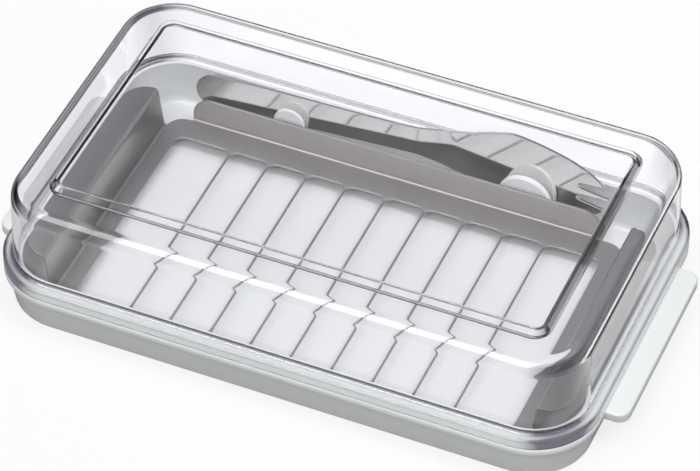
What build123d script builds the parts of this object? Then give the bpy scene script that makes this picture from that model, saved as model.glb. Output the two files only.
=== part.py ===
"""Butter dish with a clear lid, a stamped cutting grid and a butter knife.

Millimetres, +Z up. The origin is the centre of the tray's footprint, at the table.
"""

import os
from math import atan, cos, degrees, radians, sin, tan

from build123d import *

os.makedirs("parts", exist_ok=True)

# Plan shape. Every wall of the tray and lid is a rounded rectangle about the same
# four corner centres, so one number, the corner radius, gives its size.
corner_x = 71.3
corner_y = 34.9

# Tray
tray_foot_radius = 17.7
tray_shoulder_radius = 18.9
tray_lip_radius = 20.3
tray_lip_bottom = 10.6
tray_ledge = 13.1
upstand_outer_radius = 15.65
upstand_inner_radius = 14.6
upstand_top = 16.8
floor_radius = 13.6
floor_top = 2.2
floor_bottom = 0.4
floor_corner = 3.0
skirt_thickness = 1.5
basin_wall_thickness = 1.5
groove_top = 11.3

# Finger tabs at the two ends
tab_reach = 98.0
tab_root = 89.0
tab_half_width = 31.05
tab_bottom = 8.55
tab_top = 11.8
tab_corner = 3.6

# Rails that carry the cutter
rail_inner = 69.5
rail_outer = 72.5
rail_front = -30.0
rail_back = 20.0

# Knife rests: centre, half width, top, and the knife's lower edge there
rest_front = 39.2
small_rest_x = -35.9
small_rest_half_width = 4.9
small_rest_top = 19.3
small_rest_back = 40.5
small_rest_seat = 12.3
small_stop_front = 43.7
large_rest_x = 39.5
large_rest_half_width = 8.3
large_rest_top = 19.2
large_rest_back = 41.1
large_rest_seat = 9.2
large_stop_front = 45.2
stop_thickness = 1.7
stop_top = 16.5
seat_half_width = 1.3
stop_half_width = 3.0

# Lid
lid_foot_radius = 17.5
lid_shoulder_radius = 16.6
lid_wall = 1.6
lid_top = 42.3
lid_top_thickness = 1.9
lid_top_round = 3.0
lid_flange_radius = 20.3
lid_flange_top = 16.6
panel_half_length = 76.1
panel_half_width = 40.3
panel_corner = 5.0
panel_rise = 2.2
panel_slope = 1.6

# Cutter, one sheet
sheet = 0.8
plate_top = 6.3
plate_half_length = 73.2
plate_front = -46.0
plate_back = 37.1
plate_corner = 5.5
bar_pitch = 12.6
bar_count = 9
bar_width = 0.6
window_half_reach = 68.0
window_front = -41.9
window_back = 29.5
window_corner = 2.6
bend_radius = 1.1
back_flange_left = -66.8
back_flange_right = 65.0
back_flange_y = 38.3
back_flange_top = 15.2
back_flange_corner = 6.5
handle_foot_x = 74.2
handle_fold_x = 75.9
handle_top = 20.1
handle_reach = 84.0
handle_front = -43.5
handle_back = 32.5
handle_corner = 7.6

# Butter knife
knife_thickness = 1.2
knife_lean = 12.0
knife_datum = 16.5
knife_bend = 12.0


def plan(radius, height):
    """Rounded rectangle about the shared corner centres."""
    outline = RectangleRounded(2 * (corner_x + radius), 2 * (corner_y + radius), radius)
    return Pos(0, 0, height) * outline


def tapered(low_radius, low, high_radius, high):
    """Solid between two plan shapes."""
    rise = high - low
    draft = degrees(atan((low_radius - high_radius) / rise))
    return extrude(plan(low_radius, low), amount=rise, taper=draft)


def block(x_range, y_range, z_range):
    """Box from its three ranges."""
    size = [high - low for low, high in (x_range, y_range, z_range)]
    centre = [(high + low) / 2 for low, high in (x_range, y_range, z_range)]
    return Pos(*centre) * Box(*size)


def edges_at(solid, height):
    """Edges that lie wholly at one height."""
    near = [e for e in solid.edges() if abs(e.center().Z - height) < 0.01]
    return [e for e in near if e.bounding_box().size.Z < 0.01]


def upright(sketch, front, back):
    """Sketch in X and Z, thickened from its front to its back along Y."""
    plane = Plane((0, back, 0), x_dir=(1, 0, 0), z_dir=(0, -1, 0))
    return extrude(plane * sketch, amount=back - front)


def lean(z):
    """How far the knife's face has leaned back at a height."""
    return (z - knife_datum) * tan(radians(knife_lean))


def knife_rest(x, half_width, top, back, seat, stop_front):
    """Front tab with a round top, a seat for the knife and a low back stop."""
    low = floor_top - 0.5
    tab_height = top - half_width - low
    tab = Pos(x, low + tab_height / 2) * Rectangle(2 * half_width, tab_height)
    tab += Pos(x, top - half_width) * Circle(half_width)
    rest = upright(tab, rest_front, back)
    rest = chamfer(rest.edges().filter_by(GeomType.CIRCLE), 0.3)
    stop_back = stop_front + stop_thickness
    seat_range = (x - seat_half_width, x + seat_half_width)
    stop_range = (x - stop_half_width, x + stop_half_width)
    rest += block(seat_range, (rest_front + 0.4, stop_back), (low, seat))
    stop = block(stop_range, (stop_front, stop_back), (low, stop_top))
    rest += fillet(stop.edges().filter_by(Axis.Y).group_by(Axis.Z)[-1], 1.5)
    return rest


def make_tray():
    skirt = tapered(tray_foot_radius, 0, tray_shoulder_radius, tray_lip_bottom + 0.5)
    skirt = chamfer(edges_at(skirt, 0), 1.0)
    lip = extrude(plan(tray_lip_radius, tray_lip_bottom), tray_ledge - tray_lip_bottom)
    lip = chamfer(edges_at(lip, tray_ledge), 0.6)
    lip = chamfer(edges_at(lip, tray_lip_bottom), 0.3)
    upstand = extrude(plan(upstand_outer_radius, tray_ledge - 1), upstand_top - tray_ledge + 1)
    tray = skirt + lip + upstand

    for side in (-1, 1):
        x_range = sorted((side * tab_root, side * tab_reach))
        tab = block(x_range, (-tab_half_width, tab_half_width), (tab_bottom, tab_top))
        outer = tab.edges().filter_by(Axis.Z).group_by(Axis.X)[-1 if side > 0 else 0]
        tab = fillet(outer, tab_corner)
        rim = [e for e in edges_at(tab, tab_top) if abs(e.center().X) > tab_root + 0.1]
        tab = chamfer(rim, 0.5)
        rim = [e for e in edges_at(tab, tab_bottom) if abs(e.center().X) > tab_root + 0.1]
        tab = chamfer(rim, 0.4)
        tray += tab

    # The wall is double: a skirt outside, the basin inside, and a groove open below.
    slope = (tray_shoulder_radius - tray_foot_radius) / tray_lip_bottom
    skirt_inside = tray_foot_radius - skirt_thickness
    groove = tapered(skirt_inside, 0, skirt_inside + slope * groove_top, groove_top)
    basin_low = floor_radius + basin_wall_thickness
    basin_high = basin_low + 0.55
    groove -= tapered(basin_low, 0, basin_high, groove_top)
    tray -= groove
    tray -= extrude(plan(floor_radius, 0), floor_bottom)

    basin = tapered(floor_radius, floor_top, upstand_inner_radius, upstand_top)
    basin = fillet(edges_at(basin, floor_top), floor_corner)
    tray -= basin
    tray = chamfer(edges_at(tray, upstand_top), 0.3)

    for side in (-1, 1):
        x_range = sorted((side * rail_inner, side * rail_outer))
        rail = block(x_range, (rail_front, rail_back), (floor_top - 0.5, plate_top - sheet))
        tray += fillet(rail.edges().filter_by(Axis.Z), 1.2)

    tray += knife_rest(small_rest_x, small_rest_half_width, small_rest_top,
                       small_rest_back, small_rest_seat, small_stop_front)
    tray += knife_rest(large_rest_x, large_rest_half_width, large_rest_top,
                       large_rest_back, large_rest_seat, large_stop_front)
    return tray


def panel(inset, low, rise):
    """Raised centre panel with sloped sides."""
    length = 2 * (panel_half_length - inset)
    width = 2 * (panel_half_width - inset)
    base = Pos(0, 0, low) * RectangleRounded(length, width, panel_corner - inset)
    return extrude(base, amount=rise, taper=degrees(atan(panel_slope / rise)))


def make_lid():
    shell = tapered(lid_foot_radius, tray_ledge, lid_shoulder_radius, lid_top)
    shell = fillet(edges_at(shell, lid_top), lid_top_round)
    flange = extrude(plan(lid_flange_radius, tray_ledge), lid_flange_top - tray_ledge)
    flange = chamfer(edges_at(flange, lid_flange_top), 0.5)
    lid = shell + flange + panel(0, lid_top - 0.001, panel_rise)

    hollow_top = lid_top - lid_top_thickness
    taper = (lid_foot_radius - lid_shoulder_radius) / (lid_top - tray_ledge)
    high_radius = lid_foot_radius - lid_wall - taper * (hollow_top - tray_ledge)
    hollow = tapered(lid_foot_radius - lid_wall, tray_ledge, high_radius, hollow_top)
    hollow = chamfer(edges_at(hollow, hollow_top), 1.0)
    hollow += panel(0.3, hollow_top - 0.001, panel_rise)
    return lid - hollow


def folded_sheet(path_points, length, plane):
    """Bent strip: a path drawn as a sheet and extruded across."""
    path = FilletPolyline(*path_points, radius=bend_radius)
    return extrude(plane * trace(path, line_width=sheet), amount=length)


def make_cutter():
    middle = plate_top - sheet / 2
    outline = Pos(0, (plate_front + plate_back) / 2) * RectangleRounded(
        2 * plate_half_length, plate_back - plate_front, plate_corner)
    first_bar = -bar_pitch * (bar_count - 1) / 2
    bars = [first_bar + k * bar_pitch for k in range(bar_count)]
    lefts = [-window_half_reach] + [x + bar_width / 2 for x in bars]
    rights = [x - bar_width / 2 for x in bars] + [window_half_reach]
    for left, right in zip(lefts, rights):
        window = RectangleRounded(right - left, window_back - window_front, window_corner)
        outline -= Pos((left + right) / 2, (window_front + window_back) / 2) * window
    cutter = extrude(Pos(0, 0, plate_top - sheet) * outline, sheet)

    # Back flange: a strip folded up along the plate's back edge.
    back_plane = Plane((back_flange_left, 0, 0), x_dir=(0, 1, 0), z_dir=(1, 0, 0))
    path = [(plate_back - 4, middle), (back_flange_y, middle), (back_flange_y, back_flange_top)]
    flange = folded_sheet(path, back_flange_right - back_flange_left, back_plane)
    flange = fillet(flange.edges().filter_by(Axis.Y).group_by(Axis.Z)[-1], back_flange_corner)
    cutter += flange

    # End handles: folded up, leaning out a little, then folded out flat.
    end_plane = Plane((0, handle_back, 0), x_dir=(1, 0, 0), z_dir=(0, -1, 0))
    path = [
        (plate_half_length - 3, middle),
        (handle_foot_x, middle),
        (handle_fold_x, handle_top - sheet / 2),
        (handle_reach, handle_top - sheet / 2),
    ]
    handle = folded_sheet(path, handle_back - handle_front, end_plane)
    outer = handle.edges().filter_by(Axis.Z).group_by(Axis.X)[-1]
    handle = fillet(outer, handle_corner)
    cutter += handle
    cutter += mirror(handle, about=Plane.YZ)
    return cutter


def make_knife():
    # Outline seen from the front, in X and Z.
    top_edge = Spline((-3.8, 21.25), (4, 21.45), (11.3, 22.1), (19.3, 24.1), (28.7, 27.5),
                      (33.5, 28.5), (41.7, 28.0), (48.3, 27.1), (53.2, 26.1), (59, 24.1),
                      (63.2, 21.7))
    handle_top_edge = Line((-61.5, 22.7), (-3.8, 21.25))
    handle_end = ThreePointArc((-61.5, 22.7), (-66.7, 17.5), (-61.5, 12.3))
    handle_low_edge = Line((-61.5, 12.3), (-1.4, 12.8))
    low_edge = Spline((-1.4, 12.8), (3.5, 12.7), (7.8, 11.7), (13.6, 10.2), (20, 9.6),
                      (35, 9.3), (50, 10.0), (61.8, 12.2))
    tip = Polyline((61.8, 12.2), (63.4, 13.4), (63.4, 14.4), (56.2, 15.0), (54.9, 15.9),
                   (56.2, 16.8), (65.0, 17.7), (65.0, 18.3), (56.2, 18.8), (54.9, 19.7),
                   (56.2, 20.6), (63.2, 21.7))
    outline = make_face([top_edge, handle_top_edge, handle_end, handle_low_edge, low_edge, tip])
    front_view = upright(outline, 30, 60)

    # Sheet that follows the knife's plan: the handle and the blade meet at a slight bend.
    plan_points = [(-72, 39.84), (3.5, 44.26), (12.5, 45.87), (70, 41.04)]
    front_line = FilletPolyline(*plan_points, radius=knife_bend)
    back_line = Pos(0, knife_thickness) * front_line
    ends = [Line(front_line @ 0, back_line @ 0), Line(front_line @ 1, back_line @ 1)]
    band = make_face([front_line, back_line, *ends])
    low = 8.0
    rise = 24.0
    band = Pos(0, lean(low), low) * band
    angle = radians(knife_lean)
    wall = extrude(band, amount=rise / cos(angle), dir=(0, sin(angle), cos(angle)))
    return wall & front_view


pieces = {
    "tray": make_tray(),
    "lid": make_lid(),
    "cutter": make_cutter(),
    "butter_knife": make_knife(),
}

for name, piece in pieces.items():
    solid = piece.solids()[0] if len(piece.solids()) == 1 else piece
    solid.label = name
    export_step(solid, f"parts/{name}.step")
    print(name, len(piece.solids()), round(piece.volume), piece.bounding_box())
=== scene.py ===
import bpy
import bmesh
from math import asin, cos, degrees, radians, sin, tan
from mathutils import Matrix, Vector


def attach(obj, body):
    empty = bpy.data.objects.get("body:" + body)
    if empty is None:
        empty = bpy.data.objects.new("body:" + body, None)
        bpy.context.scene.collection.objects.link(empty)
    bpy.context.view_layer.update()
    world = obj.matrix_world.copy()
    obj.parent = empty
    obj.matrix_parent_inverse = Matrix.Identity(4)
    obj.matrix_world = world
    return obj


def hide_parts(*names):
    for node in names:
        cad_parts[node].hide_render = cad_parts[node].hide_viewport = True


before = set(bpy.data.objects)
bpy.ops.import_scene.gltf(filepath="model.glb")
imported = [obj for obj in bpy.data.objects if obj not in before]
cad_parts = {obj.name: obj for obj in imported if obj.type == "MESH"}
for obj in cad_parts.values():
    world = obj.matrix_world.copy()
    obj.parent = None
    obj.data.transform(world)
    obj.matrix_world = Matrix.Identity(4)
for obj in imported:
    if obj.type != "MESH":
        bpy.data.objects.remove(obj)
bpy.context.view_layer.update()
scene = bpy.context.scene
print("frame loaded:", ", ".join(sorted(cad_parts)))

mm = 0.001


def linear(hexColour):
    # sRGB hex to the linear value that the shaders take
    out = []
    for k in (0, 2, 4):
        v = int(hexColour.lstrip("#")[k:k + 2], 16) / 255
        out.append(v / 12.92 if v <= 0.04045 else ((v + 0.055) / 1.055) ** 2.4)
    return (*out, 1.0)


def addNode(tree, kind, settings=None, links=None):
    # one node, its settings (attributes, or socket values by name or number) and what feeds it
    node = tree.nodes.new(kind)
    for key, value in (settings or {}).items():
        if isinstance(key, int) or key in node.inputs:
            node.inputs[key].default_value = value
        else:
            setattr(node, key, value)
    for key, source in (links or {}).items():
        tree.links.new(source, node.inputs[key])
    return node


def mixColours(tree, factor, first, second):
    # two colours, each a hex or a socket, mixed by a factor
    node = addNode(tree, "ShaderNodeMix", {"data_type": "RGBA"}, {"Factor": factor})
    for name, colour in (("A", first), ("B", second)):
        if isinstance(colour, str):
            node.inputs[name].default_value = linear(colour)
        else:
            tree.links.new(colour, node.inputs[name])
    return node.outputs["Result"]


def newMaterial(name):
    material = bpy.data.materials.new(name)
    material.use_nodes = True
    tree = material.node_tree
    tree.nodes.clear()
    out = addNode(tree, "ShaderNodeOutputMaterial")
    return material, tree, out


camera = {
    "place": (321.2, -750.3, 815.8),   # mm, from the tray's centre at the table
    "turn": 23.119,                    # degrees round Z
    "drop": 44.365,                    # degrees below level
    "lens": 202.63,                    # mm, on the sensor below
    "sensor": 36,
    "clip": (0.05, 20),                # metres
}


def addCamera():
    # at the photograph's own angle
    data = bpy.data.cameras.new("photoCamera")
    data.lens = camera["lens"]
    data.sensor_width = camera["sensor"]
    data.clip_start, data.clip_end = camera["clip"]
    obj = bpy.data.objects.new("photoCamera", data)
    scene.collection.objects.link(obj)
    obj.location = [v * mm for v in camera["place"]]
    obj.rotation_euler = (radians(90 - camera["drop"]), 0, radians(camera["turn"]))
    scene.camera = obj


addCamera()
print("camera set")


# what the pieces share
plan = {
    "cornerX": 71.3,   # mm, centres of the four corners that every wall is drawn about
    "cornerY": 34.9,
    "steps": 32,       # pieces in a quarter turn
}
drawing = {
    "weld": 1e-7,      # metres
    "mitre": 0.35,     # keeps the sharpest corners of an inset outline in bounds
    "foldLead": 0.05,  # mm of flat sheet beside a bend, so that it shades as flat
    "breakAngle": 50,  # degrees; sharper edges of sheet are broken
}


def outline(halfX, halfY, corner, z, steps=None):
    # rounded rectangle, anticlockwise from above
    steps = steps or plan["steps"]
    points = []
    for signX, signY, start in ((1, 1, 0), (-1, 1, 90), (-1, -1, 180), (1, -1, 270)):
        for k in range(steps + 1):
            a = radians(start + 90 * k / steps)
            points.append((signX * (halfX - corner) + corner * cos(a),
                           signY * (halfY - corner) + corner * sin(a), z))
    return points


def ring(radius, z):
    # one turn of a wall about the shared corner centres
    return outline(plan["cornerX"] + radius, plan["cornerY"] + radius, radius, z)


def arc(centreU, centreV, radius, start, end, pieces):
    # points of an arc, in a wall's section (radius, height) or in a flat drawing
    turns = [radians(start + (end - start) * k / pieces) for k in range(pieces + 1)]
    return [(centreU + radius * cos(a), centreV + radius * sin(a)) for a in turns]


def loft(rings, shades=None):
    # skin over rings of equal length, capped at both ends, with each ring's painted shade kept as
    # an attribute
    mesh = bmesh.new()
    layer = mesh.verts.layers.float.new("edgeShade") if shades else None
    rows = [[mesh.verts.new([v * mm for v in point]) for point in points] for points in rings]
    if shades:
        for row, values in zip(rows, shades):
            for vert, value in zip(row, values):
                vert[layer] = value
    for low, high in zip(rows, rows[1:]):
        for k in range(len(low)):
            j = (k + 1) % len(low)
            mesh.faces.new((low[k], low[j], high[j], high[k]))
    mesh.faces.new(rows[0][::-1])
    mesh.faces.new(rows[-1])
    bmesh.ops.remove_doubles(mesh, verts=mesh.verts, dist=drawing["weld"])
    bmesh.ops.recalc_face_normals(mesh, faces=mesh.faces)
    return mesh


def inset(points, amount):
    # a closed flat outline, drawn in by an amount; anticlockwise outlines get smaller
    out = []
    for k, (u, v) in enumerate(points):
        before, after = points[k - 1], points[(k + 1) % len(points)]
        a = Vector((u - before[0], v - before[1])).normalized()
        b = Vector((after[0] - u, after[1] - v)).normalized()
        side = Vector((-a.y - b.y, a.x + b.x))
        scale = amount / max(drawing["mitre"], (1 + a.dot(b)) / 2) / 2
        out.append((u + side.x * scale, v + side.y * scale))
    return out


def slab(points, low, high, rounding, place, pieces=3):
    # a flat outline given a thickness, with rounded rims; place turns (u, v, w) into x, y, z
    rings = []
    for level, way in ((low, 1), (high, -1)):
        rows = []
        for k in range(pieces + 1):
            a = radians(90 * k / pieces)
            rows.append((rounding * (1 - sin(a)), level + way * rounding * (1 - cos(a))))
        rings += rows if way > 0 else rows[::-1]
    return loft([[place(u, v, w) for u, v in inset(points, d)] for d, w in rings])


def join(meshes):
    # several closed shells in one mesh
    whole = bmesh.new()
    for mesh in meshes:
        part = bpy.data.meshes.new("part")
        mesh.to_mesh(part)
        mesh.free()
        whole.from_mesh(part)
        bpy.data.meshes.remove(part)
    return whole


def foldPath(points, radius, pieces=6):
    # a sheet's middle line with a round at every bend
    lead = drawing["foldLead"]
    path = [points[0]]
    for before, corner, after in zip(points, points[1:], points[2:]):
        a = (Vector(corner) - Vector(before)).normalized()
        b = (Vector(after) - Vector(corner)).normalized()
        turn = a.angle_signed(b)
        reach = radius * tan(abs(turn) / 2)
        start = Vector(corner) - a * reach
        path.append(tuple(start - a * lead))
        for k in range(pieces + 1):
            t = abs(turn) * k / pieces
            side = Vector((-a.y, a.x)) * (-1 if turn > 0 else 1)
            path.append(tuple(start + a * radius * sin(t) + side * radius * (1 - cos(t))))
        path.append(tuple(Vector(corner) + b * (reach + lead)))
    path.append(points[-1])
    return path


def makeObject(name, mesh, sharpAngle):
    data = bpy.data.meshes.new(name)
    mesh.to_mesh(data)
    mesh.free()
    obj = bpy.data.objects.new(name, data)
    scene.collection.objects.link(obj)
    for face in data.polygons:
        face.use_smooth = True
    data.set_sharp_from_angle(angle=radians(sharpAngle))
    return obj


def workedMesh(obj):
    # the mesh that the object's modifiers make, with the modifiers gone
    depsgraph = bpy.context.evaluated_depsgraph_get()
    data = bpy.data.meshes.new_from_object(obj.evaluated_get(depsgraph))
    obj.modifiers.clear()
    return data


def thicken(obj, thickness, offset, rounding, pieces):
    # sheet thickness, then slightly broken edges
    solid = obj.modifiers.new("sheet", "SOLIDIFY")
    solid.thickness = thickness * mm
    solid.offset = offset
    solid.use_even_offset = True
    rim = obj.modifiers.new("edges", "BEVEL")
    rim.width = rounding * mm
    rim.segments = pieces
    rim.limit_method = "ANGLE"
    rim.angle_limit = radians(drawing["breakAngle"])
    rim.use_clamp_overlap = False
    flat = obj.modifiers.new("flat faces", "WEIGHTED_NORMAL")
    flat.keep_sharp = True
    flat.weight = 100   # large faces stay flat to the eye
    obj.data = workedMesh(obj)


def settle(obj, body, node, material):
    # a finished piece takes its material and stands for its CAD node
    obj.data.materials.clear()
    obj.data.materials.append(material)
    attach(obj, body)
    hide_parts(node)


# patterns are counted per metre, heights are in mm, and roughness runs from low to high
absPlastic = {
    "pale": "#E9ECEB",
    "deep": "#E7E9E9",        # in slow patches, where the melt flowed
    "flow": 22.0,
    "gloss": (0.15, 0.26),
    "grit": 1200.0,           # the mould's texture
    "gritHeight": 0.05,
    "gritStrength": 0.05,
    "ior": 1.53,
}
lidResin = {
    "tint": "#FDFCFF",
    "paintedEdgeShade": "#34323E",    # painted shade for rounds and corners, standing for the dark of the room seen through them
    "ior": 1.5,
    "waves": 70.0,            # left by the mould
    "waveHeight": 0.02,
    "scuffs": 240.0,
    "scuffRange": (0.62, 0.75),
    "scuffRough": 0.02,
}
stainlessSheet = {
    "colour": "#ACAAA7",
    "rough": (0.27, 0.36),
    "grain": (40.0, 2600.0),  # along and across the strip, coarser than real grain, to show at all
    "grainHeight": 0.0008,
}
stainlessPolished = {
    "colour": "#E6E5E3",
    "rough": (0.03, 0.07),
    "grain": (60.0, 3200.0),
    "grainHeight": 0.0002,
}
steelClouds = {
    "size": 55.0,
    "share": 0.5,             # against the grain, in the roughness
    "range": (0.3, 0.7),
}


def makeAbs():
    # white ABS, injection moulded: an even, slightly soft gloss over a very fine texture
    material, tree, out = newMaterial("moulded white ABS")
    place = addNode(tree, "ShaderNodeTexCoord")
    grit = addNode(tree, "ShaderNodeTexNoise", {"Scale": absPlastic["grit"], "Detail": 2.0},
                   {"Vector": place.outputs["Object"]})
    flow = addNode(tree, "ShaderNodeTexNoise", {"Scale": absPlastic["flow"], "Detail": 2.0},
                   {"Vector": place.outputs["Object"]})
    low, high = absPlastic["gloss"]
    gloss = addNode(tree, "ShaderNodeMapRange", {"To Min": low, "To Max": high},
                    {"Value": flow.outputs["Fac"]})
    shade = mixColours(tree, flow.outputs["Fac"], absPlastic["deep"], absPlastic["pale"])
    bump = addNode(tree, "ShaderNodeBump", {
        "Strength": absPlastic["gritStrength"],
        "Distance": absPlastic["gritHeight"] * mm,
    }, {"Height": grit.outputs["Fac"]})
    shader = addNode(tree, "ShaderNodeBsdfPrincipled", {"IOR": absPlastic["ior"]}, {
        "Base Color": shade,
        "Roughness": gloss.outputs["Result"],
        "Normal": bump.outputs["Normal"],
    })
    tree.links.new(shader.outputs[0], out.inputs["Surface"])
    return material


def makeResin():
    # clear styrene resin: polished, with slow waves from the mould, and violet-grey painted shade
    # at its rounds and corners
    material, tree, out = newMaterial("clear styrene resin")
    place = addNode(tree, "ShaderNodeTexCoord")
    waves = addNode(tree, "ShaderNodeTexNoise", {"Scale": lidResin["waves"], "Detail": 1.0},
                    {"Vector": place.outputs["Object"]})
    bump = addNode(tree, "ShaderNodeBump", {
        "Strength": 1.0,
        "Distance": lidResin["waveHeight"] * mm,
    }, {"Height": waves.outputs["Fac"]})
    scuffs = addNode(tree, "ShaderNodeTexNoise", {"Scale": lidResin["scuffs"], "Detail": 3.0},
                     {"Vector": place.outputs["Object"]})
    low, high = lidResin["scuffRange"]
    dull = addNode(tree, "ShaderNodeMapRange", {
        "From Min": low, "From Max": high, "To Max": lidResin["scuffRough"],
    }, {"Value": scuffs.outputs["Fac"]})
    # painted shade: each ring's edgeShade darkens the resin's colour towards the dark that its
    # rounds would show
    edges = addNode(tree, "ShaderNodeAttribute", {"attribute_name": "edgeShade"})
    shade = mixColours(tree, edges.outputs["Fac"], lidResin["tint"], lidResin["paintedEdgeShade"])
    shader = addNode(tree, "ShaderNodeBsdfPrincipled", {
        "IOR": lidResin["ior"],
        "Transmission Weight": 1.0,
    }, {
        "Base Color": shade,
        "Roughness": dull.outputs["Result"],
        "Normal": bump.outputs["Normal"],
    })
    tree.links.new(shader.outputs[0], out.inputs["Surface"])
    return material


def makeSteel(name, values):
    # fine grain along the strip, which spreads the reflections and dulls them a little in patches
    material, tree, out = newMaterial(name)
    place = addNode(tree, "ShaderNodeTexCoord")
    along, across = values["grain"]
    stretch = addNode(tree, "ShaderNodeMapping", {"Scale": (along, across, across)},
                      {"Vector": place.outputs["Object"]})
    grain = addNode(tree, "ShaderNodeTexNoise", {"Scale": 1.0, "Detail": 3.0},
                    {"Vector": stretch.outputs["Vector"]})
    cloud = addNode(tree, "ShaderNodeTexNoise", {"Scale": steelClouds["size"], "Detail": 3.0},
                    {"Vector": place.outputs["Object"]})
    both = addNode(tree, "ShaderNodeMix", {"Factor": steelClouds["share"]},
                   {2: grain.outputs["Fac"], 3: cloud.outputs["Fac"]})
    fromLow, fromHigh = steelClouds["range"]
    toLow, toHigh = values["rough"]
    rough = addNode(tree, "ShaderNodeMapRange", {
        "From Min": fromLow, "From Max": fromHigh, "To Min": toLow, "To Max": toHigh,
    }, {"Value": both.outputs[0]})
    bump = addNode(tree, "ShaderNodeBump", {
        "Strength": 1.0,
        "Distance": values["grainHeight"] * mm,
    }, {"Height": grain.outputs["Fac"]})
    shader = addNode(tree, "ShaderNodeBsdfPrincipled", {
        "Base Color": linear(values["colour"]),
        "Metallic": 1.0,
    }, {"Roughness": rough.outputs["Result"], "Normal": bump.outputs["Normal"]})
    tree.links.new(shader.outputs[0], out.inputs["Surface"])
    return material


whiteAbs = makeAbs()
clearResin = makeResin()
satinSteel = makeSteel("satin stainless steel", stainlessSheet)
polishedSteel = makeSteel("polished stainless steel", stainlessPolished)
print("materials made")


# the clear lid, mm
lid = {
    "foot": 17.5,            # the wall's radius at the bottom
    "shoulder": 16.6,        # and at the top
    "wall": 1.6,
    "bottom": 13.06,         # just into the ledge, which shows through it
    "top": 42.3,
    "topThickness": 1.9,
    "topRound": 4.4,
    "topSplit": (58, 55),    # degrees up the round, where it stops being clear and its painted shade starts
    "underTop": 0.2,         # from the round down to the next ring
    "wallBands": [(36.0, 18.3, "wall"), (18.1, 17.5, "neckLine")],   # from, to and shade
    "neckRound": 0.6,
    "flange": 20.3,
    "flangeTop": 16.6,
    "flangeRound": 0.5,
    "flangeRings": [(0.9, "flangeFlat"), (0.2, "flangeEdge")],   # in from the round
    "sideTop": 0.3,          # from the round down
    "sideLow": 0.6,          # and from the bottom up
    "rimRound": 0.3,
    "rimFlat": (0.5, 0.3),   # in from the flange, and out from the mouth
    "mouthRound": 0.15,
    "insideRings": [(14.0, "clear"), (36.0, "inside")],
    "insideTop": 0.5,        # from the inner round down
    "insideSplit": (50, 54),
    "lead": 0.3,             # of flat beside the rounds at the top
    "panelX": 76.1,          # half sizes of the raised panel
    "panelY": 40.3,
    "panelCorner": 5.0,
    "panelRise": 2.2,
    "panelInner": 1.2,       # how much smaller the hollow under it is
    "slopeX": 1.3,           # how far the slope runs in at the ends
    "slopeY": 1.9,           # and along the sides
    "slopeRings": [          # share of the run, share of the rise, and part
        (-0.7, 0, "flat"), (-0.32, 0, "flat"), (-0.28, 0, "foot"), (-0.05, 0.06, "foot"),
        (0.14, 0.22, "foot"), (0.18, 0.26, "slope"), (0.86, 0.93, "slope"),
        (0.9, 0.96, "crown"), (1.02, 1.0, "crown"), (1.06, 1.0, "flat"), (1.4, 1.0, "flat"),
    ],
    "sharpAngle": 60,
}

# painted shade on each part of the lid at its left, right, front and back, and what corners add
lidShade = {
    "clear": (0, 0, 0, 0, 0),
    "topRound": (0.9, 0.3, 0.0, 0.3, 0.5),
    "underTop": (0.1, 0, 0, 0, 0.4),
    "wall": (0, 0, 0, 0, 0.4),
    "neckLine": (0.4, 0.2, 1.0, 0.1, 0.8),
    "neckRound": (0.6, 0.5, 0.5, 0.1, 1.0),
    "flangeFlat": (0.2, 0.2, 0.3, 0, 0.6),
    "flangeEdge": (0.5, 0.5, 0.35, 0, 0.8),
    "flangeRound": (0.8, 0.8, 0.6, 0.2, 0.9),
    "sideTop": (0.7, 0.6, 0.55, 0, 0.8),
    "sideLow": (0.6, 0.5, 0.55, 0, 0.8),
    "rimRound": (0.7, 0.7, 0.65, 0.2, 0.8),
    "inside": (0, 0, 0, 0, 0.1),
    "insideRound": (0.9, 0.2, 0, 0.2, 0.5),
    "panelFoot": (0.4, 0.6, 1, 0.6, 0.4),
    "panelSlope": (0.05, 0.9, 0, 0.1, 0.1),
    "panelCrown": (0.5, 0.9, 0.4, 0.7, 0.3),
    "hollowCrown": (0.3, 0.5, 0.3, 0.3, 0.2),
}


def edgeShade(name):
    # how much painted shade one ring of the lid gets, round its turn
    left, right, front, back, corners = lidShade[name]
    out = []
    for start in (0, 90, 180, 270):
        for k in range(plan["steps"] + 1):
            a = radians(start + 90 * k / plan["steps"])
            level = (right if cos(a) > 0 else left) * cos(a) ** 2
            level += (back if sin(a) > 0 else front) * sin(a) ** 2
            out.append(min(1.0, level + corners * sin(2 * a) ** 2))
    return out


def panelRings(inner, low, shades):
    # the raised panel: a soft foot, a slope that is steeper at the ends, and a crisp crown
    out = []
    for across, up, part in lid["slopeRings"]:
        x, y = across * lid["slopeX"], across * lid["slopeY"]
        turn = outline(lid["panelX"] - inner - x, lid["panelY"] - inner - y,
                       lid["panelCorner"] - inner - (x + y) / 2, low + up * lid["panelRise"])
        out.append((turn, edgeShade(shades.get(part, "clear"))))
    return out


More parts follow.
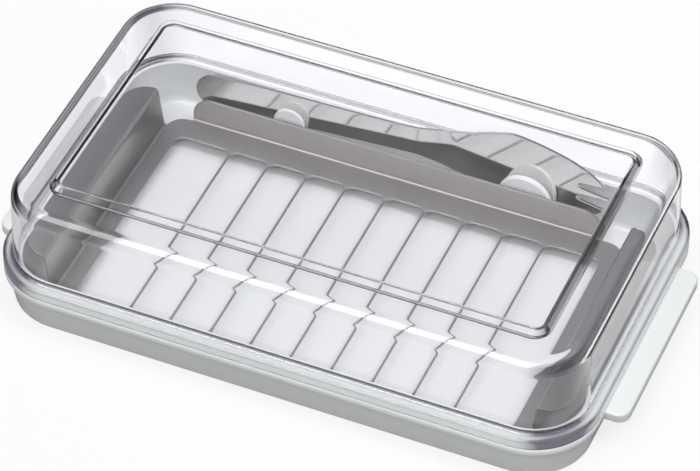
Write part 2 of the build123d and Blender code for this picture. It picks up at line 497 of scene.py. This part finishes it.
def makeLid():
    p = lid
    taper = (p["foot"] - p["shoulder"]) / (p["top"] - p["bottom"])
    section = []   # radius, height and painted shade, from the top's middle out, down and back inside

    def wallAt(z, inside=0.0):
        return p["foot"] - taper * (z - p["bottom"]) - inside

    def add(points, shade="clear"):
        section.extend((r, z, shade) for r, z in points)

    r = p["topRound"]
    outer = wallAt(p["top"] - r)
    clearTo, darkFrom = p["topSplit"]
    add([(outer - r - p["lead"], p["top"])])
    add(arc(outer - r, p["top"] - r, r, 90, clearTo, 5))
    add(arc(outer - r, p["top"] - r, r, darkFrom, 0, 8), "topRound")
    under = p["top"] - r - p["underTop"]
    add([(wallAt(under), under)], "underTop")
    for high, low, shade in p["wallBands"]:
        add([(wallAt(high), high), (wallAt(low), low)], shade)
    n = p["neckRound"]
    add(arc(wallAt(p["flangeTop"]) + n, p["flangeTop"] + n, n, 180, 270, 4), "neckRound")
    f = p["flangeRound"]
    for back, shade in p["flangeRings"]:
        add([(p["flange"] - f - back, p["flangeTop"])], shade)
    add(arc(p["flange"] - f, p["flangeTop"] - f, f, 90, 0, 5), "flangeRound")
    add([(p["flange"], p["flangeTop"] - f - p["sideTop"])], "sideTop")
    add([(p["flange"], p["bottom"] + p["sideLow"])], "sideLow")
    q = p["rimRound"]
    add(arc(p["flange"] - q, p["bottom"] + q, q, 0, -90, 3), "rimRound")
    inner = wallAt(p["bottom"], p["wall"])
    outFlat, inFlat = p["rimFlat"]
    add([(p["flange"] - outFlat, p["bottom"]), (inner + inFlat, p["bottom"])])
    m = p["mouthRound"]
    add(arc(inner + m, p["bottom"] + m, m, 270, 180, 2))

    low = p["top"] - p["topThickness"]
    i = r - p["wall"]
    for z, shade in p["insideRings"]:
        add([(wallAt(z, p["wall"]), z)], shade)
    middle = wallAt(low - i, p["wall"]) - i
    darkTo, clearFrom = p["insideSplit"]
    add([(middle + i, low - i - p["insideTop"])], "inside")
    add(arc(middle, low - i, i, 0, darkTo, 5), "insideRound")
    add(arc(middle, low - i, i, clearFrom, 90, 4))
    add([(section[-1][0] - p["lead"], low)])

    raised = {"foot": "panelFoot", "slope": "panelSlope", "crown": "panelCrown"}
    rings = panelRings(0, p["top"], raised)[::-1]
    rings += [(ring(radius, z), edgeShade(shade)) for radius, z, shade in section]
    rings += panelRings(p["panelInner"], low, {"crown": "hollowCrown"})
    mesh = loft([turn for turn, dark in rings], [dark for turn, dark in rings])
    return makeObject("clearLid", mesh, p["sharpAngle"])


clearLid = makeLid()
settle(clearLid, "lid_body", "lid", clearResin)
clearLid.visible_shadow = False      # the clear lid lets the studio light through
clearLid.visible_diffuse = False
print("lid made:", len(clearLid.data.polygons), "faces")


# the white tray, mm
tray = {
    "foot": 17.7,            # wall radii
    "shoulder": 18.9,
    "lip": 20.3,
    "lipBottom": 10.6,
    "ledge": 13.1,
    "upstandOut": 15.65,
    "upstandIn": 14.6,
    "upstandTop": 16.8,
    "floor": 13.6,
    "floorTop": 2.2,
    "floorBottom": 0.4,
    "floorRound": 3.0,
    "floorLead": 0.5,        # of flat floor inside its round
    "floorTurn": 356,        # degrees, where the round meets the basin's wall
    "basinStart": (0.1, 6.0),   # out, and the height from which the wall is straight
    "skirt": 1.5,            # thickness of the two walls
    "skirtRings": (9.5, 2.2),
    "grooveTop": 11.3,
    "grooveDraft": 0.55,
    "upstandRound": 0.3,
    "upstandStart": 0.4,     # each start is where a wall stops being straight
    "ledgeRound": 0.4,
    "ledgeStart": 0.7,
    "lipRound": 1.5,
    "lipStart": 1.9,
    "lipLowRound": 0.4,
    "lipLowStart": 0.6,
    "throatRound": 0.3,      # where the skirt meets the lip
    "throatStart": 0.35,
    "footRound": 1.3,
    "footOut": 0.1,
    "tabReach": 98.0,
    "tabRoot": 89.0,
    "tabHalf": 31.05,
    "tabBottom": 8.55,
    "tabTop": 11.8,
    "tabCorner": 3.6,
    "tabEdge": 0.55,
    "railX": (69.5, 72.5),
    "railY": (-30.0, 20.0),
    "railTop": 5.5,
    "railCorner": 1.2,
    "railEdge": 0.25,
    "rests": [               # centre, half width, top, back, seat, stop's front
        (-35.9, 4.9, 19.3, 40.5, 12.3, 43.7),
        (39.5, 8.3, 19.2, 41.1, 9.2, 45.2),
    ],
    "restFront": 39.2,
    "restEdge": 0.2,
    "seatHalf": 1.3,
    "seatFront": 0.4,        # behind the rest's front
    "seatEdge": 0.1,
    "stopHalf": 3.0,
    "stopTop": 16.5,
    "stopDepth": 1.7,
    "stopRound": 1.5,
    "stopEdge": 0.25,
    "rooted": 0.5,           # how deep rails and rests go into the floor
    "sharpAngle": 30,
}


def trayShell():
    # the whole moulding's section, from the middle of the floor out, over the lip and under
    t = tray
    slope = (t["shoulder"] - t["foot"]) / t["lipBottom"]
    r = t["floorRound"]
    section = arc(t["floor"] - r, t["floorTop"] + r, r, 270, t["floorTurn"], 12)
    section = [(section[0][0] - t["floorLead"], t["floorTop"])] + section
    out, straight = t["basinStart"]
    section += [(t["floor"] + out, straight),
                (t["upstandIn"], t["upstandTop"] - t["upstandStart"])]
    r = t["upstandRound"]
    section += arc(t["upstandIn"] + r, t["upstandTop"] - r, r, 180, 90, 4)
    section += arc(t["upstandOut"] - r, t["upstandTop"] - r, r, 90, 0, 4)
    section += [(t["upstandOut"], t["ledge"] + t["ledgeStart"])]
    r = t["ledgeRound"]
    section += arc(t["upstandOut"] + r, t["ledge"] + r, r, 180, 270, 4)
    section += [(t["lip"] - t["lipStart"], t["ledge"])]
    r = t["lipRound"]
    section += arc(t["lip"] - r, t["ledge"] - r, r, 90, 0, 10)
    section += [(t["lip"], t["lipBottom"] + t["lipLowStart"])]
    r = t["lipLowRound"]
    section += arc(t["lip"] - r, t["lipBottom"] + r, r, 0, -90, 5)
    wall = t["foot"] + slope * t["lipBottom"]
    section += [(wall + t["throatStart"], t["lipBottom"])]
    r = t["throatRound"]
    section += arc(wall + r, t["lipBottom"] - r, r, 90, 180, 4)
    section += [(t["foot"] + slope * z, z) for z in t["skirtRings"]]
    r = t["footRound"]
    section += arc(t["foot"] + t["footOut"] - r, r, r, 0, -90, 8)
    inner = t["foot"] - t["skirt"]
    section += [(inner, 0.0), (inner + slope * t["grooveTop"], t["grooveTop"])]
    basin = t["floor"] + t["skirt"]
    section += [(basin + t["grooveDraft"], t["grooveTop"]), (basin, 0.0),
                (t["floor"], 0.0), (t["floor"], t["floorBottom"])]
    return loft([ring(r, z) for r, z in section])


def knifeRest(x, half, top, back, seat, stopFront):
    # a front tab with a round top, a seat, and a low stop behind the knife
    t = tray
    low = t["floorTop"] - t["rooted"]

    def upright(points, front, rear, rounding, pieces=3):
        return slab(points, front, rear, rounding, lambda u, v, w: (u, w, v), pieces)

    arch = [(x - half, low), (x + half, low)] + arc(x, top - half, half, 0, 180, 28)
    stopBack = stopFront + t["stopDepth"]
    s = t["seatHalf"]
    saddle = [(x - s, low), (x + s, low), (x + s, seat), (x - s, seat)]
    r = t["stopRound"]
    shift = t["stopHalf"] - r
    post = [(x - t["stopHalf"], low), (x + t["stopHalf"], low)]
    post += arc(x + shift, t["stopTop"] - r, r, 0, 90, 6)
    post += arc(x - shift, t["stopTop"] - r, r, 90, 180, 6)
    return [
        upright(arch, t["restFront"], back, t["restEdge"]),
        upright(saddle, t["restFront"] + t["seatFront"], stopBack, t["seatEdge"], 1),
        upright(post, stopFront, stopBack, t["stopEdge"]),
    ]


def makeTray():
    t = tray
    parts = [trayShell()]
    c = t["tabCorner"]
    tab = [(t["tabRoot"], -t["tabHalf"])]
    tab += arc(t["tabReach"] - c, c - t["tabHalf"], c, -90, 0, 10)
    tab += arc(t["tabReach"] - c, t["tabHalf"] - c, c, 0, 90, 10)
    tab += [(t["tabRoot"], t["tabHalf"])]
    a, b = t["railX"]
    y0, y1 = t["railY"]
    rail = [(p[0] + (a + b) / 2, p[1] + (y0 + y1) / 2)
            for p in outline((b - a) / 2, (y1 - y0) / 2, t["railCorner"], 0, 5)]
    for way in (-1, 1):
        def atEnd(u, v, w, way=way):
            return (way * u, v, w)
        parts.append(slab(tab, t["tabBottom"], t["tabTop"], t["tabEdge"], atEnd, 4))
        parts.append(slab(rail, t["floorTop"] - t["rooted"], t["railTop"], t["railEdge"], atEnd))
    for rest in t["rests"]:
        parts += knifeRest(*rest)
    for part in parts:
        bmesh.ops.recalc_face_normals(part, faces=part.faces)
    return makeObject("whiteTray", join(parts), t["sharpAngle"])


whiteTray = makeTray()
settle(whiteTray, "tray_body", "tray", whiteAbs)
print("tray made:", len(whiteTray.data.polygons), "faces")


# the cutter, mm: one flat blank with ten windows, folded up along three sides
cutter = {
    "sheet": 0.8,
    "plateTop": 6.3,
    "plateX": 73.2,
    "plateFront": -46.0,
    "plateBack": 37.1,
    "plateCorner": 5.5,
    "innerWindows": 8,       # with a longer one at each end
    "pitch": 12.6,
    "bar": 0.6,
    "windowReach": 68.0,
    "windowFront": -41.9,
    "windowBack": 29.5,
    "windowCorner": 2.6,
    "bend": 1.1,
    "flangeX": (-66.8, 65.0),
    "flangeY": 38.3,
    "flangeTop": 15.2,
    "flangeCorner": 6.5,
    "handleY": (-43.5, 32.5),
    "handleFoot": 74.2,
    "handleFold": 75.9,
    "handleTop": 20.1,
    "handleReach": 84.0,
    "handleCorner": 7.6,
    "cornerPieces": 12,
    "cornerClear": 1.6,      # corner radii, how far from the end of a strip its bends may be kept
    "near": 0.01,
    "weld": 0.001,
    "edge": 0.14,            # broken edges
    "edgePieces": 2,
    "sharpAngle": 35,
}


def windowTree():
    # rounded windows in a row: eight alike, and a longer one at each end
    tree = bpy.data.node_groups.new("cutter windows", "GeometryNodeTree")
    face = tree.interface
    face.new_socket("Geometry", in_out="OUTPUT", socket_type="NodeSocketGeometry")
    face.new_socket("Inner count", in_out="INPUT", socket_type="NodeSocketInt")
    for name in ("Pitch", "Inner width", "End width", "End place", "Depth", "Corner", "Centre"):
        face.new_socket(name, in_out="INPUT", socket_type="NodeSocketFloat")
    face.new_socket("Material", in_out="INPUT", socket_type="NodeSocketMaterial")
    given = addNode(tree, "NodeGroupInput").outputs
    out = addNode(tree, "NodeGroupOutput")

    def row(count, width, first, step):
        shape = addNode(tree, "GeometryNodeCurvePrimitiveQuadrilateral", {"mode": "RECTANGLE"},
                        {"Width": width, "Height": given["Depth"]})
        rounded = addNode(tree, "GeometryNodeFilletCurve", {"mode": "POLY", "Count": 8},
                          {"Curve": shape.outputs["Curve"], "Radius": given["Corner"]})
        wire = addNode(tree, "GeometryNodeCurveToMesh", links={"Curve": rounded.outputs["Curve"]})
        begin = addNode(tree, "ShaderNodeCombineXYZ", links={"X": first, "Y": given["Centre"]})
        stride = addNode(tree, "ShaderNodeCombineXYZ", links={"X": step})
        line = addNode(tree, "GeometryNodeMeshLine", {"mode": "OFFSET"}, {
            "Count": count, "Start Location": begin.outputs[0], "Offset": stride.outputs[0]})
        return addNode(tree, "GeometryNodeInstanceOnPoints",
                       links={"Points": line.outputs["Mesh"], "Instance": wire.outputs["Mesh"]})

    def maths(operation, a, b):
        node = addNode(tree, "ShaderNodeMath", {"operation": operation})
        for k, value in enumerate((a, b)):
            if isinstance(value, (int, float)):
                node.inputs[k].default_value = value
            else:
                tree.links.new(value, node.inputs[k])
        return node.outputs[0]

    span = maths("MULTIPLY", maths("SUBTRACT", given["Inner count"], 1), given["Pitch"])
    inner = row(given["Inner count"], given["Inner width"], maths("MULTIPLY", span, -0.5),
                given["Pitch"])
    two = addNode(tree, "FunctionNodeInputInt", {"integer": 2})
    ends = row(two.outputs[0], given["End width"], maths("MULTIPLY", given["End place"], -1.0),
               maths("MULTIPLY", given["End place"], 2.0))
    both = addNode(tree, "GeometryNodeJoinGeometry")
    tree.links.new(inner.outputs[0], both.inputs[0])
    tree.links.new(ends.outputs[0], both.inputs[0])
    real = addNode(tree, "GeometryNodeRealizeInstances", links={"Geometry": both.outputs[0]})
    painted = addNode(tree, "GeometryNodeSetMaterial", links={
        "Geometry": real.outputs[0], "Material": given["Material"]})
    tree.links.new(painted.outputs[0], out.inputs[0])
    return tree


def windowEdges():
    # the windows' outlines as a plain mesh of edges
    c = cutter
    halfBar = c["bar"] / 2
    firstBar = -c["innerWindows"] / 2 * c["pitch"]
    sizes = {
        "Inner count": c["innerWindows"],
        "Pitch": c["pitch"] * mm,
        "Inner width": (c["pitch"] - c["bar"]) * mm,
        "End width": (c["windowReach"] + firstBar - halfBar) * mm,
        "End place": (c["windowReach"] - firstBar + halfBar) / 2 * mm,
        "Depth": (c["windowBack"] - c["windowFront"]) * mm,
        "Corner": c["windowCorner"] * mm,
        "Centre": (c["windowBack"] + c["windowFront"]) / 2 * mm,
        "Material": satinSteel,
    }
    obj = bpy.data.objects.new("windows", bpy.data.meshes.new("windows"))
    scene.collection.objects.link(obj)
    rule = obj.modifiers.new("windows", "NODES")
    rule.node_group = windowTree()
    for item in rule.node_group.interface.items_tree:
        if item.in_out == "INPUT":
            rule[item.identifier] = sizes[item.name]
    data = workedMesh(obj)
    bpy.data.objects.remove(obj)
    return data


def foldStrip(mesh, left, right, path, corner, place):
    # rows of sheet from an edge of the blank outwards, with a rounded outer end
    end = Vector(path[-1])
    way = (end - Vector(path[-2])).normalized()
    pull = end - way * corner
    rows = []
    for p in path[1:-1]:
        short = (Vector(p) - pull).dot(way) < -cutter["near"]
        far = (end - Vector(p)).length > corner * cutter["cornerClear"]
        if short or far:
            rows.append((p, 0.0))
    for k in range(cutter["cornerPieces"] + 1):
        a = radians(90 * k / cutter["cornerPieces"])
        rows.append((tuple(pull + way * corner * sin(a)), corner * (1 - cos(a))))
    old = (left[0], right[0])
    for p, drawn in rows:
        new = (mesh.verts.new([v * mm for v in place(left[1] + drawn, p)]),
               mesh.verts.new([v * mm for v in place(right[1] - drawn, p)]))
        mesh.faces.new((old[0], old[1], new[1], new[0]))
        old = new


def makeCutter():
    c = cutter
    z = c["plateTop"] - c["sheet"] / 2
    r = c["plateCorner"]
    cx, cyBack, cyFront = c["plateX"] - r, c["plateBack"] - r, c["plateFront"] + r
    yFront, yBack = c["handleY"]
    x0, x1 = c["flangeX"]
    topAngle = degrees(asin((yBack - cyBack) / r))
    lowAngle = degrees(asin((yFront - cyFront) / r))
    blank = [(c["plateX"], yFront), (c["plateX"], yBack)]
    blank += arc(cx, cyBack, r, topAngle, 90, 8)
    blank += [(x1, c["plateBack"]), (x0, c["plateBack"])]
    blank += arc(-cx, cyBack, r, 90, 180 - topAngle, 8)
    blank += [(-c["plateX"], yBack), (-c["plateX"], yFront)]
    blank += arc(-cx, cyFront, r, 180 - lowAngle, 270, 8)
    blank += arc(cx, cyFront, r, 270, 360 + lowAngle, 8)

    mesh = bmesh.new()
    mesh.from_mesh(windowEdges())
    for v in mesh.verts:
        v.co.z = z * mm
    verts = [mesh.verts.new((x * mm, y * mm, z * mm)) for x, y in blank]
    for k, v in enumerate(verts):
        mesh.edges.new((v, verts[(k + 1) % len(verts)]))
    bmesh.ops.remove_doubles(mesh, verts=mesh.verts, dist=c["weld"] * mm)
    bmesh.ops.triangle_fill(mesh, use_beauty=True, use_dissolve=False, edges=mesh.edges[:])
    mesh.verts.ensure_lookup_table()

    def at(x, y):
        return min(mesh.verts, key=lambda v: (v.co.x - x * mm) ** 2 + (v.co.y - y * mm) ** 2)

    back = [(c["plateBack"], z), (c["flangeY"], z), (c["flangeY"], c["flangeTop"])]
    foldStrip(mesh, (at(x0, c["plateBack"]), x0), (at(x1, c["plateBack"]), x1),
              foldPath(back, c["bend"]), c["flangeCorner"], lambda t, p: (t, p[0], p[1]))
    top = c["handleTop"] - c["sheet"] / 2
    side = [(c["plateX"], z), (c["handleFoot"], z), (c["handleFold"], top), (c["handleReach"], top)]
    for way in (-1, 1):
        edge = way * c["plateX"]
        foldStrip(mesh, (at(edge, yFront), yFront), (at(edge, yBack), yBack),
                  foldPath(side, c["bend"]), c["handleCorner"],
                  lambda t, p, w=way: (w * p[0], t, p[1]))
    bmesh.ops.recalc_face_normals(mesh, faces=mesh.faces)
    obj = makeObject("steelCutter", mesh, c["sharpAngle"])
    thicken(obj, c["sheet"], 0.0, c["edge"], c["edgePieces"])
    return obj


steelCutter = makeCutter()
settle(steelCutter, "cutter_body", "cutter", satinSteel)
print("cutter made:", len(steelCutter.data.polygons), "faces")


# the butter knife, mm, drawn in X and Z and then leaned back
knife = {
    "thickness": 1.2,
    "lean": 12.0,            # degrees
    "datum": 16.5,           # height at which the plan line below is drawn
    "plan": [(-72, 39.84), (3.5, 44.26), (12.5, 45.87), (70, 41.04)],
    "planRound": 12.0,
    "top": [(-3.8, 21.25), (4, 21.45), (11.3, 22.1), (19.3, 24.1), (28.7, 27.5), (33.5, 28.5),
            (41.7, 28.0), (48.3, 27.1), (53.2, 26.1), (59, 24.1), (63.2, 21.7)],
    "low": [(-1.4, 12.8), (3.5, 12.7), (7.8, 11.7), (13.6, 10.2), (20, 9.6), (35, 9.3),
            (50, 10.0), (61.8, 12.2)],
    "tines": [(63.4, 13.4), (63.4, 14.4), (56.2, 15.0), (55.2, 15.3), (54.9, 15.9), (55.2, 16.5),
              (56.2, 16.8), (65.0, 17.7), (65.0, 18.3), (56.2, 18.8), (55.2, 19.1), (54.9, 19.7),
              (55.2, 20.3), (56.2, 20.6)],
    "end": (-61.5, 17.5, 5.2),   # centre and radius of the handle's round end
    "grid": 1.5,             # between the cuts that let the sheet follow its plan
    "cuts": ((0, -66, 65), (2, 10, 28)),   # axis, from and to
    "cutSnap": 0.02,
    "weld": 0.06,
    "edge": 0.2,             # broken edges
    "edgePieces": 3,
    "sharpAngle": 35,
}


def smoothLine(points, pieces=4):
    # a smooth curve through points, rounding each stretch by its neighbours
    out = []
    ends = [points[0]] + points + [points[-1]]
    for a, b, c, d in zip(ends, ends[1:], ends[2:], ends[3:]):
        for k in range(pieces):
            t = k / pieces
            out.append(tuple(0.5 * (2 * q + (r - p) * t + (2 * p - 5 * q + 4 * r - w) * t * t
                                    + (3 * q - p - 3 * r + w) * t ** 3)
                             for p, q, r, w in zip(a, b, c, d)))
    return out + [points[-1]]


def heightOn(path, x):
    for (x0, y0), (x1, y1) in zip(path, path[1:]):
        if x <= x1:
            return y0 + (y1 - y0) * (x - x0) / (x1 - x0)
    return path[-1][1]


def makeKnife():
    k = knife
    cx, cz, r = k["end"]
    points = smoothLine(k["low"]) + k["tines"] + smoothLine(k["top"])[::-1]
    points += arc(cx, cz, r, 90, 270, 16)
    mesh = bmesh.new()
    mesh.faces.new([mesh.verts.new((x, 0, z)) for x, z in points])
    for axis, start, stop in k["cuts"]:
        steps = int((stop - start) / k["grid"])
        for i in range(steps + 1):
            point = [0, 0, 0]
            point[axis] = start + (stop - start) * i / steps
            normal = [0, 0, 0]
            normal[axis] = 1
            bmesh.ops.bisect_plane(mesh, geom=mesh.verts[:] + mesh.edges[:] + mesh.faces[:],
                                   dist=k["cutSnap"], plane_co=point, plane_no=normal)
    bmesh.ops.remove_doubles(mesh, verts=mesh.verts, dist=k["weld"])
    path = sorted(foldPath(k["plan"], k["planRound"], 10))
    for v in mesh.verts:
        lean = (v.co.z - k["datum"]) * tan(radians(k["lean"]))
        v.co.y = heightOn(path, v.co.x) + lean
        v.co *= mm
    bmesh.ops.recalc_face_normals(mesh, faces=mesh.faces)
    mesh.faces.ensure_lookup_table()
    if mesh.faces[0].normal.y > 0:   # the sheet is thickened backwards from its front face
        bmesh.ops.reverse_faces(mesh, faces=mesh.faces)
    obj = makeObject("butterKnife", mesh, k["sharpAngle"])
    thicken(obj, k["thickness"] * cos(radians(k["lean"])), -1.0, k["edge"], k["edgePieces"])
    return obj


butterKnife = makeKnife()
settle(butterKnife, "knife_body", "butter_knife", polishedSteel)
print("knife made:", len(butterKnife.data.polygons), "faces")


# the studio, in metres
studio = {
    "floorHalf": 3.0,
    "paper": (0.20, 0.34),   # from the middle, where the paper fades to the dark table
    "table": 0.03,
    "bounce": 0.40,          # how pale the paper is to the object
    "white": "#F0F0F0",      # the paper that the camera sees, which keeps the shadow
    "glow": 0.80,            # and how much of it is an even white
    "through": 1.29,         # paper seen through the lid, to make up for what its faces take
    "throughShare": 0.85,
    # height of the light in the room, from level at 0 to overhead at 1, and its tone
    "front": [(0.0, "#202020"), (0.20, "#454545"), (0.50, "#A8A8A8"), (0.85, "#F5F5F5")],
    "back": [(0.0, "#202020"), (0.60, "#2E2E30"), (0.74, "#BCBECC"), (0.90, "#FFFFFF")],
    "turn": 0.25,            # how widely front and back blend
    # how white the room is behind the clear lid: white where it's looked through level
    "behindGlass": {"From Min": 0.15, "From Max": 0.4, "To Min": 1.0, "To Max": 0.12},
    "lamps": {               # place, size, watts, and what it is for
        "overhead": ((0.0, -0.1, 1.6), (1.2, 1.0), 2.9, "light"),
        "keyRight": ((0.72, 0.05, 1.35), (0.3, 0.4), 4.9, "light"),
        "fillFront": ((0.0, -1.12, 1.3), (0.7, 0.5), 7.2, "light"),
        "sideRight": ((1.2, -0.5, 0.5), (0.5, 0.5), 1.2, "light"),
        "fillBack": ((-0.4, 1.3, 0.25), (0.6, 0.4), 4.5, "light"),
        "softFront": ((-0.3, -0.85, 1.6), (1.6, 1.2), 44.0, "gloss"),
    },
}


def addFloor():
    # pale paper on a dark table: the camera sees an even white, and clear edges find the dark
    mesh = bpy.data.meshes.new("studioFloor")
    half = studio["floorHalf"]
    corners = [(-half, -half, 0), (half, -half, 0), (half, half, 0), (-half, half, 0)]
    mesh.from_pydata(corners, [], [(0, 1, 2, 3)])
    obj = bpy.data.objects.new("studioFloor", mesh)
    scene.collection.objects.link(obj)
    material, tree, out = newMaterial("studio paper")
    place = addNode(tree, "ShaderNodeTexCoord")
    far = addNode(tree, "ShaderNodeVectorMath", {"operation": "LENGTH"},
                  {0: place.outputs["Object"]})
    near, gone = studio["paper"]
    edge = addNode(tree, "ShaderNodeMapRange", {
        "From Min": near, "From Max": gone, "To Min": 1.0, "To Max": studio["table"],
    }, {"Value": far.outputs["Value"]})
    path = addNode(tree, "ShaderNodeLightPath")

    bounce = addNode(tree, "ShaderNodeMath", {"operation": "MULTIPLY", 1: studio["bounce"]},
                     {0: edge.outputs["Result"]})
    paper = addNode(tree, "ShaderNodeBsdfDiffuse", links={"Color": bounce.outputs[0]})
    glow = addNode(tree, "ShaderNodeEmission", {"Color": (1, 1, 1, 1), "Strength": 1.0})
    white = addNode(tree, "ShaderNodeBsdfDiffuse", {"Color": linear(studio["white"])})
    shown = addNode(tree, "ShaderNodeMixShader", {"Fac": studio["glow"]},
                    {1: white.outputs[0], 2: glow.outputs[0]})
    straight = addNode(tree, "ShaderNodeMixShader", links={
        "Fac": path.outputs["Is Camera Ray"], 1: paper.outputs[0], 2: shown.outputs[0]})

    bright = addNode(tree, "ShaderNodeMath", {"operation": "MULTIPLY", 1: studio["through"]},
                     {0: edge.outputs["Result"]})
    through = addNode(tree, "ShaderNodeEmission", {"Color": (1, 1, 1, 1)},
                      {"Strength": bright.outputs[0]})
    share = addNode(tree, "ShaderNodeMath", {"operation": "MULTIPLY", 1: studio["throughShare"]},
                    {0: path.outputs["Is Transmission Ray"]})
    both = addNode(tree, "ShaderNodeMixShader", links={
        "Fac": share.outputs[0], 1: straight.outputs[0], 2: through.outputs[0]})
    tree.links.new(both.outputs[0], out.inputs["Surface"])
    mesh.materials.append(material)


def addLamp(name, place, size, watts, job):
    # aimed at the dish; it either lights surfaces or shows in shiny ones
    data = bpy.data.lights.new(name, "AREA")
    data.shape = "RECTANGLE"
    data.size, data.size_y = size
    data.energy = watts
    obj = bpy.data.objects.new(name, data)
    scene.collection.objects.link(obj)
    obj.location = place
    obj.rotation_euler = (-Vector(place)).to_track_quat("-Z", "Y").to_euler()
    obj.visible_camera = False
    obj.visible_diffuse = job == "light"
    obj.visible_glossy = job == "gloss"
    obj.visible_transmission = False


def addWorld():
    # a bright ceiling and front over a dark back, so that clear edges and steel have dark to show
    world = bpy.data.worlds.new("studioWorld")
    world.use_nodes = True
    tree = world.node_tree
    tree.nodes.clear()
    out = addNode(tree, "ShaderNodeOutputWorld")
    place = addNode(tree, "ShaderNodeTexCoord")
    split = addNode(tree, "ShaderNodeSeparateXYZ", links={"Vector": place.outputs["Generated"]})
    tones = []
    for side in ("front", "back"):
        ramp = addNode(tree, "ShaderNodeValToRGB", links={"Fac": split.outputs["Z"]})
        stops = ramp.color_ramp.elements
        for k, (height, tone) in enumerate(studio[side]):
            stop = stops[k] if k < 2 else stops.new(height)   # a ramp starts with two stops
            stop.position = height
            stop.color = linear(tone)
        tones.append(ramp.outputs["Color"])
    turn = addNode(tree, "ShaderNodeMapRange",
                   {"From Min": -studio["turn"], "From Max": studio["turn"]},
                   {"Value": split.outputs["Y"]})
    room = mixColours(tree, turn.outputs["Result"], *tones)

    # white for the camera, and for what looks through the lid at a low angle
    path = addNode(tree, "ShaderNodeLightPath")
    rise = addNode(tree, "ShaderNodeMath", {"operation": "ABSOLUTE"}, {0: split.outputs["Z"]})
    level = addNode(tree, "ShaderNodeMapRange", studio["behindGlass"], {"Value": rise.outputs[0]})
    glass = addNode(tree, "ShaderNodeMath", {"operation": "MULTIPLY"},
                    {0: path.outputs["Is Transmission Ray"], 1: level.outputs["Result"]})
    seen = addNode(tree, "ShaderNodeMath", {"operation": "MAXIMUM"},
                   {0: path.outputs["Is Camera Ray"], 1: glass.outputs[0]})
    shown = mixColours(tree, seen.outputs[0], room, "#FFFFFF")
    back = addNode(tree, "ShaderNodeBackground", {"Strength": 1.0}, {"Color": shown})
    tree.links.new(back.outputs[0], out.inputs["Surface"])
    scene.world = world


addFloor()
addWorld()
for name, values in studio["lamps"].items():
    addLamp(name, *values)
scene.view_settings.view_transform = "Standard"
print("studio set")
